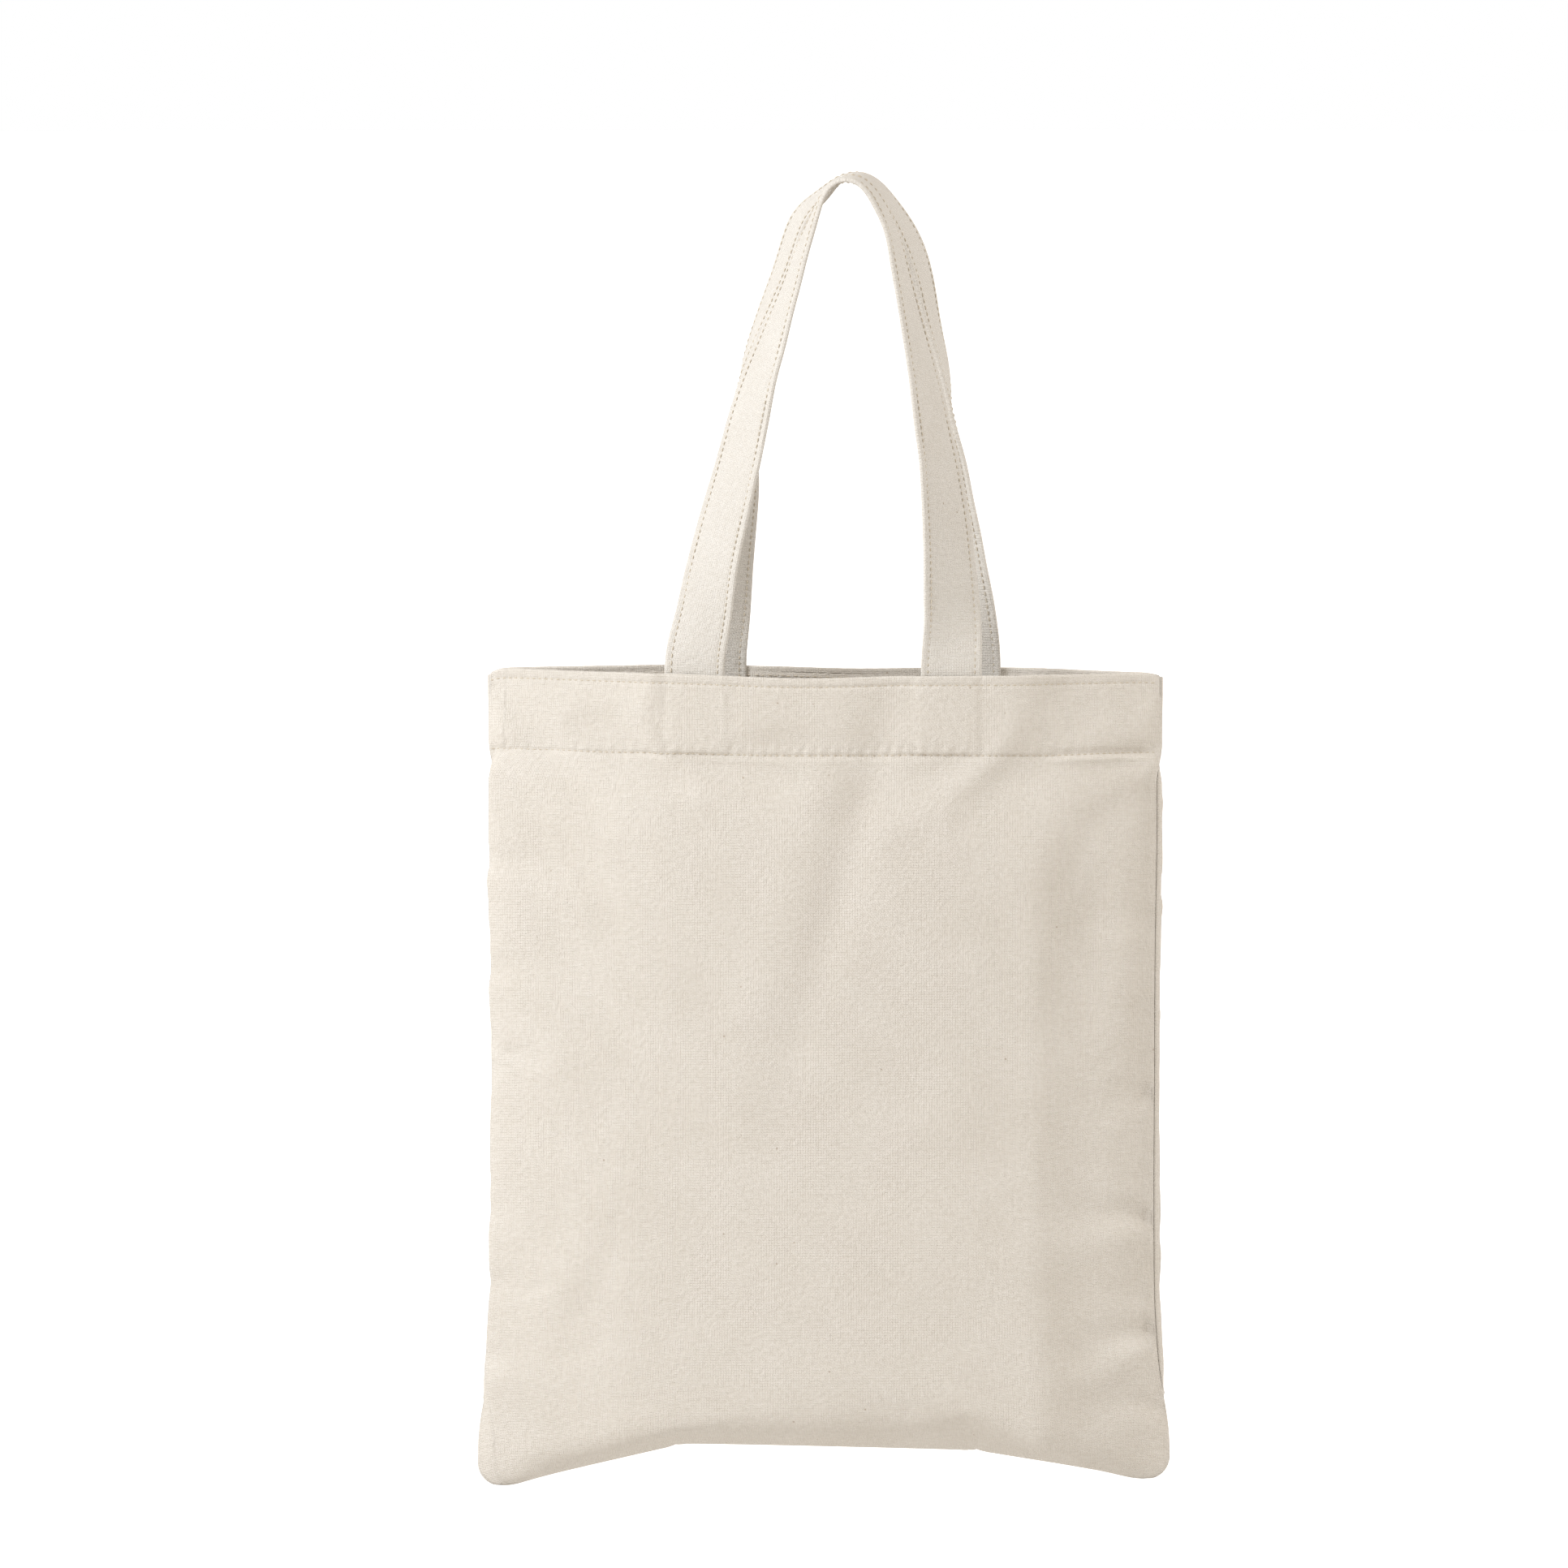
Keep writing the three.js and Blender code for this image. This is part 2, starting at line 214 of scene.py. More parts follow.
def grid_faces(index, flip=False):
    """Quads over a grid of vertex numbers. Where a number is -1 there is no cloth."""
    quads = np.stack([index[:-1, :-1], index[1:, :-1], index[1:, 1:], index[:-1, 1:]], axis=-1).reshape(-1, 4)
    quads = quads[(quads >= 0).all(axis=1)]
    return quads[:, ::-1] if flip else quads


def tube_faces(rings):
    """The quads and end caps of a tube, from its rings of vertex numbers."""
    closed = np.hstack([rings, rings[:, :1]])
    return [*map(tuple, grid_faces(closed)), tuple(rings[0]), tuple(rings[-1][::-1])]


def lengths_along(line):
    """How far along a line each of its points lies."""
    return np.concatenate([[0], np.cumsum(np.linalg.norm(np.diff(line, axis=0), axis=1))])


def sampled(places, lengths, values):
    """The values, one row for each of the lengths, at other places."""
    return np.stack([np.interp(places, lengths, column) for column in values.T], axis=-1)


# ---- The body's surface, as the frame has it ----

def bottom_drop(share):
    start = np.where(share < 0, CORNER_STARTS[-1], CORNER_STARTS[1])
    ramp = (np.abs(share) - start) / (CORNER_END - start) / CORNER_SOFTNESS
    fall = CORNER_SOFTNESS * (np.logaddexp(0, ramp) - np.logaddexp(0, ramp - 1 / CORNER_SOFTNESS))
    corner = np.where(share < 0, LEFT_DROP, RIGHT_DROP)
    middle = MIDDLE_DROP - MIDDLE_TILT * np.clip(share / start, -1, 1)
    return middle + (corner - middle) * fall


def half_width(share, drop):
    corner_drop = bottom_drop(np.sign(share))
    flare = BASE_HALF - RIM_HALF - WAIST_WIDENING + np.where(share < 0, LEFT_FLARE, RIGHT_FLARE)
    straight = RIM_HALF + WAIST_WIDENING * smoothstep(drop, WIDENING_START, WAIST)
    straight = straight + flare * smoothstep(drop, FLARE_START, MIDDLE_DROP)
    into_corner = np.clip(drop - corner_drop + CORNER_RADIUS, 0, CORNER_RADIUS)
    return straight - CORNER_RADIUS + np.sqrt(CORNER_RADIUS ** 2 - into_corner ** 2)


def crown(share, drop):
    """The share of the full depth: round across the mouth, and lower down flat between two soft folds."""
    round_mouth = 1 - np.abs(share) ** CROWN_POWER
    fold = np.where(share < 0, LEFT_FOLD, RIGHT_FOLD)
    softness = np.where(share < 0, LEFT_SOFTNESS, RIGHT_SOFTNESS)
    slope = (1 - np.abs(share)) / (1 - fold)
    folded = -softness * np.log(np.exp(-1 / softness) + np.exp(-slope / softness))
    return round_mouth + (folded - round_mouth) * smoothstep(drop, MOUTH_END, WAIST)


def half_depth(share, drop):
    fullness = WAIST_DEPTH + (MOUTH_DEPTH - WAIST_DEPTH) * np.cos(math.pi * drop / MIDDLE_DROP) ** 2
    rise = np.clip((bottom_drop(share) - drop) / BOTTOM_ROLL, 0, 1)
    return fullness * np.maximum(crown(share, drop), 0) * np.sqrt(1 - (1 - rise) ** 2)


def panel_points(side, share, drop):
    x = CENTRE_X + share * half_width(share, drop)
    y = side * (SEAM_HALF_GAP + half_depth(share, drop))
    return np.stack(np.broadcast_arrays(x, y, RIM - drop), axis=-1)


SLOPE_STEP, SLOPE_SHARE = 0.5 * MM, 0.002  # for measuring a panel's slope


def layer_point(side, share, drop, inward):
    """A point inward of a panel's middle surface."""
    low, high = max(drop - SLOPE_STEP, 0), drop + SLOPE_STEP
    across = panel_points(side, share + SLOPE_SHARE, drop) - panel_points(side, share - SLOPE_SHARE, drop)
    down = panel_points(side, share, high) - panel_points(side, share, low)
    normal = unit(np.cross(across, down)) * side
    return panel_points(side, share, drop) - normal * inward


def panel_sheet(side):
    """A panel's grid with its rows evenly spaced along the cloth, from the rim to the bottom seam."""
    sheet = np.empty((ROWS + 1, COLUMNS + 1, 3))
    for column, share in enumerate(np.linspace(-1, 1, COLUMNS + 1)):
        drops = bottom_drop(share) * np.sin(np.linspace(0, math.pi / 2, CURVE_SAMPLES))
        curve = panel_points(side, share, drops)
        lengths = lengths_along(curve)
        even = np.interp(np.linspace(0, lengths[-1], ROWS + 1), lengths, drops)
        sheet[:, column] = panel_points(side, share, even)
    return sheet


# ---- Settling the body by cloth simulation ----

def envelope_numbers():
    """Vertex numbers of the front and back grids, which share their side and bottom seams."""
    front = np.arange((ROWS + 1) * (COLUMNS + 1)).reshape(ROWS + 1, COLUMNS + 1)
    back = front.copy()
    inner = back[:-1, 1:-1]
    back[:-1, 1:-1] = front.size + np.arange(inner.size).reshape(inner.shape)
    return front, back


def flat_sheet(side):
    """The same panel as it was cut, lying flat."""
    x = CENTRE_X + np.linspace(-0.5, 0.5, COLUMNS + 1) * FLAT_WIDTH
    z = RIM - np.linspace(0, FLAT_LENGTH, ROWS + 1)
    grid_x, grid_z = np.meshgrid(x, z)
    return np.stack([grid_x, np.full_like(grid_x, side * 0.5 * MM), grid_z], axis=-1)


def settle(sheets):
    """Lets both panels, joined at their seams, settle under a light pressure from inside."""
    front, back = envelope_numbers()
    count = int(back.max()) + 1
    start = np.empty((count, 3))
    cut = np.empty((count, 3))
    for number, side in ((back, BACK), (front, FRONT)):
        start[number] = sheets[side]
        cut[number] = flat_sheet(side)
    seam = np.concatenate([front[:, 0], front[:, -1], front[-1]])
    start[seam, 1] = 0
    cut[seam, 1] = 0
    faces = np.concatenate([grid_faces(front), grid_faces(back, flip=True)])
    bag = make_mesh("settling_bag", start, faces)
    pin_the_strap_ends(bag, start, front, back)
    run_cloth(bag, cut)
    evaluated = bag.evaluated_get(bpy.context.evaluated_depsgraph_get())
    settled = np.empty(count * 3)
    evaluated.data.vertices.foreach_get("co", settled)
    bpy.data.objects.remove(bag)
    move = settled.reshape(-1, 3) - start
    length = np.linalg.norm(move, axis=1, keepdims=True)
    move *= np.tanh(length / MOST_MOVE) * MOST_MOVE / np.maximum(length, 1e-9)
    settled = start + move
    return {FRONT: settled[front], BACK: settled[back]}


def pin_the_strap_ends(bag, start, front, back):
    """Holds the cloth at the straps and the ends of the mouth, and lightly along the seams."""
    group = bag.vertex_groups.new(name="held")
    for side, number in ((FRONT, front), (BACK, back)):
        for leg in (-1, 1):
            centre = CENTRE_X + STRAP_CENTRES[side] + leg * LEG_OFFSET
            near = (np.abs(start[number, 0] - centre) < STRAP_HALF) & (start[number, 2] > RIM - HEM)
            group.add([int(v) for v in number[near]], 1.0, "REPLACE")
    seams = np.concatenate([front[:, 0], front[:, -1], front[-1]])
    group.add([int(v) for v in seams], SEAM_HOLD, "REPLACE")
    ends = [int(front[row, column]) for row in range(3) for column in (0, -1)]
    group.add(ends, 1.0, "REPLACE")


CLOTH = dict(
    quality=8,
    mass=0.3,
    tension_stiffness=40,
    compression_stiffness=40,
    shear_stiffness=25,
    bending_model="ANGULAR",
    bending_stiffness=1.5,
    air_damping=2,
    vertex_group_mass="held",
    pin_stiffness=1,
    use_pressure=True,
    uniform_pressure_force=1.3,
)


def run_cloth(bag, cut):
    """Runs Blender's cloth on the bag, which wants to keep its cut shape."""
    bag.shape_key_add(name="hanging")
    flat = bag.shape_key_add(name="flat")
    flat.data.foreach_set("co", cut.ravel())
    flat.value = 0
    cloth = bag.modifiers.new("Cloth", "CLOTH")
    for name, value in CLOTH.items():
        setattr(cloth.settings, name, value)
    cloth.settings.effector_weights.gravity = 0
    cloth.settings.rest_shape_key = flat
    cloth.collision_settings.use_collision = False
    cloth.point_cache.frame_start = 1
    cloth.point_cache.frame_end = SETTLE_FRAMES
    for step in range(1, SETTLE_FRAMES + 1):
        bpy.context.scene.frame_set(step)


# ---- Shaping the settled cloth: hem, seams, creases ----

def cloth_places():
    """Each finished grid point's distances across and below the rim, on the flat cloth."""
    return np.meshgrid(COLUMN_PLACES, ROW_PLACES)


# Small gathers along the side seams: the side they start from, and in millimetres how far below the rim,
# their reach inward and their depth.
GATHERS = (
    (-1, 40, 34, 1.4), (-1, 90, 40, 1.6), (-1, 146, 30, 1.1), (-1, 262, 26, 0.7), (-1, 338, 30, 1.0),
    (1, 36, 40, 2.2), (1, 120, 26, 1.3), (1, 205, 30, 1.7), (1, 268, 44, 3.3), (1, 322, 46, 3.2),
    (1, 362, 36, 2.1),
)
BACK_GATHER_SHIFT = 14
GATHER_SLANTS = (-0.12, 0.16)  # taken in turn
GATHER_WIDTH, GATHER_SPREAD = 4.5 * MM, 0.10


def gathers(across, down, side):
    """Short creases that run in from the side seams, fading with distance."""
    height = np.zeros_like(across)
    for number, (edge, drop, reach, deep) in enumerate(GATHERS):
        if side == BACK:
            edge, drop = -edge, drop + BACK_GATHER_SHIFT
        inset = FLAT_WIDTH / 2 - edge * across
        slant = GATHER_SLANTS[number % 2] * inset
        offset = down - drop * MM - slant
        width = GATHER_WIDTH + GATHER_SPREAD * inset
        fade = smoothstep(inset, 0, 5 * MM) * np.exp(-((inset / (reach * MM)) ** 2))
        wave = bell(offset, 0, width) - 0.7 * bell(offset, 1.9 * width, 1.2 * width)
        height -= deep * MM * fade * wave
    return height


# Heights and wavelengths of the panels' broad shallow folds in millimetres, and their seeds.
BROAD_FOLDS = ((0.7, 150, 11), (0.22, 48, 23))
# Cross-sections of folds, as each bell shape's height, centre and width in millimetres.
VALLEY = (1.3, -26, 16), (-2.4, 0, 12)
CREASE = (1.1, -5, 9), (-2.4, 19, 14)
RIM_LINE = (-0.55, 0, 0.8),
HEM_LINE = (-0.6, 0, 0.8), (0.26, 3, 1.8)
HEM_HOLLOW = (-0.35, 0, 3.5),
HEM_PUCKERS = (0.26, -2.6, 3.2),
RIM_PUCKERS = (0.15, 0, 2.4),
TUCK = (1.3, 2.6, 2), (-1.0, -1.2, 1.6)
VALLEY_PLACE, VALLEY_START, VALLEY_SLANT = 33 * MM, 20 * MM, 0.27
CREASE_WANDER = 3 * MM
PUCKER_PITCH, PUCKER_SLANT = 6.4 * MM, 0.5
HEM_LIFT, STRAP_LIFT = 0.3 * MM, 0.6 * MM  # of the panel, over the hem and the strap ends


def soft_folds(across, down, side):
    """The broad folds, the valley below a strap, and the crease where the right part folds back."""
    mirrored = across * -side
    height = np.zeros_like(across)
    for high, wavelength, seed in BROAD_FOLDS:
        height += high * MM * ripples(mirrored, down, wavelength * MM, seed + side)
    from_valley = mirrored - VALLEY_PLACE + VALLEY_SLANT * (down - VALLEY_START)
    height += bells(from_valley, *VALLEY) * bell(down, WAIST, 95 * MM)
    from_crease = across - RIGHT_FOLD * FLAT_WIDTH / 2 + CREASE_WANDER * ripples(down, 0, 140 * MM, 57)
    return height + bells(from_crease, *CREASE) * smoothstep(down, 55 * MM, 130 * MM)


def stitch_lines(down, patchy):
    """The cloth pulled in along its two rows of stitches, and the doubled hem between them."""
    height = patchy * (bells(down - HEM, *HEM_LINE) + bells(down - RIM_STITCH, *RIM_LINE))
    height += HEM_LIFT * (1 - smoothstep(down, HEM - 1 * MM, HEM + 0.5 * MM))
    return height + bells(down - HEM, *HEM_HOLLOW)


def puckers(across, down, side, patchy):
    """The small slanting folds that the stitching draws up."""
    slant = across * -side + PUCKER_SLANT * (down - HEM)
    phase = 2.5 * ripples(across, 0, 45 * MM, 43 + side)
    folds = np.cos(2 * math.pi * slant / PUCKER_PITCH + phase)
    return folds * (patchy * bells(down - HEM, *HEM_PUCKERS) + bells(down - RIM_STITCH, *RIM_PUCKERS))


def hem_tuck(across, down, side):
    """The sharper tuck near the end of the hem's stitching."""
    mirrored = across * -side
    span = smoothstep(mirrored, 112 * MM, 128 * MM) * (1 - smoothstep(mirrored, 160 * MM, 168 * MM))
    return bells(down - HEM, *TUCK) * span


def strap_marks(across, down, side):
    """The sewn ends of the straps, showing through the hem."""
    height = np.zeros_like(across)
    for leg in (-1, 1):
        middle = STRAP_CENTRES[side] + leg * LEG_OFFSET
        inside = 1 - smoothstep(np.abs(across - middle), STRAP_HALF - 0.6 * MM, STRAP_HALF + 1.4 * MM)
        height += STRAP_LIFT * inside * (1 - smoothstep(down, HEM - 1.5 * MM, HEM + 0.5 * MM))
    return height


def sewing_relief(across, down, side):
    """What the sewing does to the cloth."""
    patchy = 1 + 0.7 * ripples(across, 0, 60 * MM, 37 + side)
    height = stitch_lines(down, patchy) + puckers(across, down, side, patchy)
    return height + hem_tuck(across, down, side) + strap_marks(across, down, side)


EAR_DEPTH, EAR_RISE = 1.3 * MM, 13 * MM
EAR_INSET, EAR_SLANT = 55 * MM, 0.10


def corner_ears(across, down):
    """The panel's crease just above each hanging corner."""
    height = np.zeros_like(across)
    for edge in (-1, 1):
        along = FLAT_WIDTH / 2 - edge * across - EAR_INSET
        line = FLAT_LENGTH - down - EAR_RISE - EAR_SLANT * along
        height -= EAR_DEPTH * bell(line, 0, 7 * MM) * bell(along, 10 * MM, 42 * MM)
    return height


LEAST_DEPTH = 0.95 * MM  # of an outer face, from the plane of the seams
EDGE_FADE = 12 * MM  # the width at the side seams where folds fade out
BOTTOM_FADE = 6 * MM, 40 * MM  # and their fading above the bottom seam
RIM_SAG, SAG_PLACE, SAG_WIDTH, SAG_REACH = 1.5 * MM, -12 * MM, 42 * MM, 80 * MM
RIM_CORNERS = {-1: 2.6 * MM, 1: 1.2 * MM}  # how far the rim rounds down at its ends
RIM_CORNER_WIDTH, RIM_CORNER_REACH = 3 * MM, 20 * MM


def shape_panel(sheet, side):
    """The panel's outer surface, with its folds, gathers and sewing worked in."""
    fine = finished_grid(sheet)
    across, down = cloth_places()
    normals = outward_normals(fine, side)
    edge_fade = smoothstep(FLAT_WIDTH / 2 - np.abs(across), 0, EDGE_FADE)
    bottom_fade = smoothstep(FLAT_LENGTH - down, *BOTTOM_FADE)
    height = soft_folds(across, down, side) * edge_fade * bottom_fade
    height += gathers(across, down, side) * bottom_fade
    height += sewing_relief(across, down, side) * edge_fade
    height += corner_ears(across, down) * edge_fade
    fine = fine + normals * (height + CANVAS / 2)[..., None]
    sag = bell(across * -side, SAG_PLACE, SAG_WIDTH) * (1 - smoothstep(down, 0, SAG_REACH))
    fine[..., 2] -= RIM_SAG * sag
    for edge, fall in RIM_CORNERS.items():
        inset = FLAT_WIDTH / 2 - edge * across
        near_rim = 1 - smoothstep(down, 0, RIM_CORNER_REACH)
        fine[..., 2] -= fall * np.exp(-inset / RIM_CORNER_WIDTH) * near_rim
    fine[..., 1] = side * np.maximum(fine[..., 1] * side, LEAST_DEPTH)
    return fine


# How the cloth turns in at a seam: millimetres inward, and away from the plane of the seams.
SEAM_TURN = ((0.15, 0.95), (0.0, 0.6), (0.45, 0.3), (2.5, 0.22), (6.0, 0.25), (ALLOWANCE / MM, 0.3))
CORNER_TURN = math.radians(68)
CORNER_TURN_HEIGHT = 1.6 * CORNER_RADIUS


def side_inward(edge_points, edge):
    """The direction in which a side's allowance lies: inward, turning up round the bottom corner."""
    rise = edge_points[:, 2] - edge_points[:, 2].min()
    turn = CORNER_TURN * np.clip(1 - rise / CORNER_TURN_HEIGHT, 0, 1)
    return np.stack([-edge * np.cos(turn), np.zeros_like(turn), np.sin(turn)], axis=-1)


def turned_edge(edge, side, inward):
    """The rows of points by which a panel's edge turns in and becomes the seam allowance."""
    rows = []
    for deep, away in SEAM_TURN:
        row = edge + inward * deep * MM
        row[:, 1] = side * away * MM
        rows.append(row)
    return rows


def with_turned_edges(sheet, side):
    """Adds the seam allowances to a panel's sides and bottom."""
    bottom = turned_edge(sheet[-1], side, np.array([0, 0, 1]))
    tall = np.concatenate([sheet[:-1], np.stack(bottom)])
    left = np.stack(turned_edge(tall[:, 0], side, side_inward(tall[:, 0], -1))[::-1], axis=1)
    right = np.stack(turned_edge(tall[:, -1], side, side_inward(tall[:, -1], 1)), axis=1)
    return np.hstack([left, tall[:, 1:-1], right])


# Below the hem the right side seam rolls to the front, and the left one to the back.
ROLL_RADIUS = 4 * MM
ROLL_START, ROLL_END = math.radians(-70), math.radians(60)
ROLL_STRETCH = 70 * MM  # width over which the cloth makes up for the roll
ROLL_SHIFT_REACH = 14 * MM  # and over which the other panel follows
ROLL_RISE = 0.6 * MM
ROLL_TOP = 34 * MM, 54 * MM  # where a seam rolls over
ROLL_BOTTOM = 335 * MM, 378 * MM  # and where it comes back to the edge


def seam_roll(down):
    """How fully a side seam has rolled, by distance below the rim."""
    return smoothstep(down, *ROLL_TOP) * (1 - smoothstep(down, *ROLL_BOTTOM))


def seam_shift(edge):
    """Where a rolled seam lies from where it would be at the very edge."""
    inward = ROLL_RADIUS * (1 - math.cos(ROLL_START))
    sideways = ROLL_RISE + ROLL_RADIUS * math.sin(ROLL_START)
    return np.array([-edge * inward, edge * sideways, 0])


def rolled_edge(grid, side, edge, down, turned):
    """Rolls a side seam off the edge. One panel wraps round to meet it, and the other follows."""
    columns = np.arange(grid.shape[1]) if edge < 0 else np.arange(grid.shape[1])[::-1]
    order = columns[turned - 1:]
    cloth = grid[:, order]
    along = np.stack([lengths_along(row) for row in cloth])
    shift = seam_shift(edge)
    moved = cloth + shift * (1 - smoothstep(along, 0, ROLL_SHIFT_REACH))[..., None]
    if side == edge:
        length = ROLL_RADIUS * (ROLL_END - ROLL_START)
        angle = ROLL_START + np.minimum(along, length) / ROLL_RADIUS
        arc = cloth.copy()
        arc[..., 0] = cloth[:, :1, 0] - edge * ROLL_RADIUS * (1 - np.cos(angle))
        arc[..., 1] = edge * (ROLL_RISE + ROLL_RADIUS * np.sin(angle))
        taken = length - ROLL_RADIUS * (1 - math.cos(ROLL_END))
        reach = taken * (1 - smoothstep(along, length, ROLL_STRETCH))
        beyond = cloth + np.array([edge, 0, 0]) * reach[..., None]
        moved = np.where((along < length)[..., None], arc, beyond)
    share = seam_roll(down)[:, None, None]
    rolled = grid.copy()
    rolled[:, order] = cloth + (moved - cloth) * share
    allowance = columns[:turned - 1]
    rolled[:, allowance] += shift * share
    return rolled


HEM_OFFSET = 2.2 * MM  # from the panel to the hem behind it
LEAST_HEM_OFFSET = 0.9 * MM
HEM_EDGE = 2 * MM  # of hem below its stitches
HEM_ARC = (180, 150, 120, 90, 60, 30)  # the fold over the rim, in degrees


def with_hem(sheet, side):
    """Turns the rim in: the hem's rows, the fold over the rim, then the panel itself."""
    normals = outward_normals(sheet, side)
    offset = np.clip(np.abs(sheet[0, :, 1]) * 0.8, LEAST_HEM_OFFSET, HEM_OFFSET)[:, None]
    hem_rows = int(np.searchsorted(ROW_PLACES, HEM + HEM_EDGE))
    inner = (sheet - normals * offset)[hem_rows:0:-1]
    fold = []
    for angle in HEM_ARC:
        turn = math.radians(angle)
        lift = np.array([0, 0, 0.5 * math.sin(turn)]) * offset
        fold.append(sheet[0] + normals[0] * offset * 0.5 * (math.cos(turn) - 1) + lift)
    return np.concatenate([inner, np.stack(fold), sheet]), len(inner) + len(fold)


def sheet_lengths(grid):
    """Places of the grid's points on the flat cloth."""
    down = np.linalg.norm(np.diff(grid, axis=0), axis=2).mean(axis=1)
    across = np.linalg.norm(np.diff(grid, axis=1), axis=2).mean(axis=0)
    v = -np.concatenate([[0], np.cumsum(down)])
    u = np.concatenate([[0], np.cumsum(across)])
    return np.stack(np.meshgrid(u - u[-1] / 2, v), axis=-1)


def panel_cloth(side, sheet, material):
    """One panel as a single cut of canvas: outer face, seam allowances and turned hem."""
    outer = with_turned_edges(sheet, side)
    turned = len(SEAM_TURN)
    down = np.concatenate([ROW_PLACES[:-1], np.full(turned, FLAT_LENGTH)])
    for edge in (-1, 1):
        outer = rolled_edge(outer, side, edge, down, turned)
    hemmed, first_outer = with_hem(outer, side)
    number = np.arange(hemmed.shape[0] * hemmed.shape[1]).reshape(hemmed.shape[:2])
    number[:first_outer, :turned] = -1
    number[:first_outer, -turned:] = -1
    used = np.unique(number[number >= 0])
    renumber = np.full(number.size + 1, -1)
    renumber[used] = np.arange(len(used))
    faces = grid_faces(renumber[number], flip=side == BACK)
    places = sheet_lengths(hemmed).reshape(-1, 2)[used]
    cloth = make_mesh(f"{SIDES[side]}_cloth", hemmed.reshape(-1, 3)[used], faces, places, material)
    thick = cloth.modifiers.new("thickness", "SOLIDIFY")
    thick.thickness = CANVAS
    thick.offset = -1
    thick.use_even_offset = False
    return cloth


# ---- Straps ----

SEWN_DROPS = (36, 24, 12, 0)  # places along a sewn end, in millimetres below the rim
SEWN_RISE = 8 * MM  # how far a strap runs on straight above the rim
RIM_SHARE = 0.02  # for measuring the rim's bearing
# Places across half a strap, close together at the stitches and at the edge.
STRAP_PLACES = (0, 2.5, 5, 7.5, 9.6, 10.5, 11.1, 11.5, 11.9, 12.5, 13.2, 13.9, 14.4, 14.75, 14.93, 15)
EDGE_ROUND = 1.3 * MM
STRAP_CROWN = 0.12 * MM
STITCH_PULL, STITCH_PULL_CHANGE = 0.26 * MM, 0.12 * MM
STRAP_WANDER, STRAP_WAVES, STRAP_WIDTH_CHANGE = 0.25 * MM, 0.22 * MM, 0.012


def leg_share(side, leg):
    return (STRAP_CENTRES[side] + leg * LEG_OFFSET) / RIM_HALF


def rim_bearing(side, leg):
    """The bearing, in degrees, of the rim where a leg is sewn to it."""
    share = leg_share(side, leg)
    along = panel_points(side, share + RIM_SHARE, 0.0) - panel_points(side, share - RIM_SHARE, 0.0)
    return math.degrees(math.atan2(along[1], along[0]))


def strap_points(side):
    """A strap's centre line and turn: left sewn end, left leg, bight, right leg, right sewn end."""
    def sewn_end(leg):
        share = leg_share(side, leg)
        places = [layer_point(side, share, drop * MM, STRAP_INWARD) for drop in SEWN_DROPS]
        places.append(places[-1] + np.array([0, 0, SEWN_RISE]))
        return [(*place, 0) for place in places]

    def leg_route(leg):
        return [(x * MM, y * MM, z * MM, turn) for x, y, z, turn in STRAP_LEGS[side, leg]]

    radius = PEG_RADIUS + STRAP_THICK / 2
    turns = BIGHT_TURNS[side]
    bight = []
    for angle, turn in zip(np.radians(np.linspace(-ARC_END, ARC_END, len(turns))), turns):
        x, z = radius * math.sin(angle), radius * math.cos(angle) - PEG_RADIUS
        bight.append((x, side * BIGHT_SHIFT, z, turn))
    left = sewn_end(-1) + leg_route(-1)
    right = sewn_end(1) + leg_route(1)
    return np.array([*left, *bight, *right[::-1]])


def smooth_curve(points, per_span=40):
    """A centripetal Catmull-Rom curve through points that begin with their place."""
    ends = [2 * points[0] - points[1], *points, 2 * points[-1] - points[-2]]
    share = np.linspace(0, 1, per_span, endpoint=False)[:, None]
    curve = []
    for a, b, c, d in zip(ends, ends[1:], ends[2:], ends[3:]):
        before, span, after = (math.sqrt(np.linalg.norm((q - p)[:3])) for p, q in ((a, b), (b, c), (c, d)))
        leave = ((b - a) / before - (c - a) / (before + span) + (c - b) / span) * span
        arrive = ((c - b) / span - (d - b) / (span + after) + (d - c) / after) * span
        square, cube = share ** 2, share ** 3
        curve.append(b + leave * share + (3 * (c - b) - 2 * leave - arrive) * square
                     + (2 * (b - c) + leave + arrive) * cube)
    curve.append(points[-1:])
    return np.concatenate(curve)


def even_steps(curve, steps):
    lengths = lengths_along(curve[:, :3])
    even = np.linspace(0, lengths[-1], steps + 1)
    return sampled(even, lengths, curve), even


def softened(curve, reach=6, passes=2):
    """The curve with its tight bends eased."""
    for _ in range(passes):
        padded = np.concatenate([[curve[0]] * reach, curve, [curve[-1]] * reach])
        padded[:reach] = 2 * curve[0] - curve[reach:0:-1]
        padded[-reach:] = 2 * curve[-1] - curve[-2:-reach - 2:-1]
        curve = np.mean([padded[step:step + len(curve)] for step in range(2 * reach + 1)], axis=0)
    return curve


def strap_frame(side):
    """A strap's centre points, the directions of its edge and of its face, and its lengths."""
    route, _ = even_steps(smooth_curve(strap_points(side)), STRAP_STEPS)
    route, lengths = even_steps(softened(route), STRAP_STEPS)
    centre, turn = route[:, :3], route[:, 3]
    tangent = unit(np.gradient(centre, axis=0))
    leg = np.where(np.arange(len(centre)) < np.argmax(centre[:, 2]), -1, 1)
    at_rim = np.where(leg < 0, rim_bearing(side, -1), rim_bearing(side, 1))
    flat = 90 + side * (180 + leg * 90)
    bearing = np.radians(flat + at_rim * (1 - np.clip(turn / 90, 0, 1)) - side * leg * turn)
    edge = np.stack([np.cos(bearing), np.sin(bearing), np.zeros_like(bearing)], axis=-1)
    edge = unit(edge - tangent * (edge * tangent).sum(axis=1, keepdims=True))
    return centre, edge, np.cross(edge, tangent), lengths


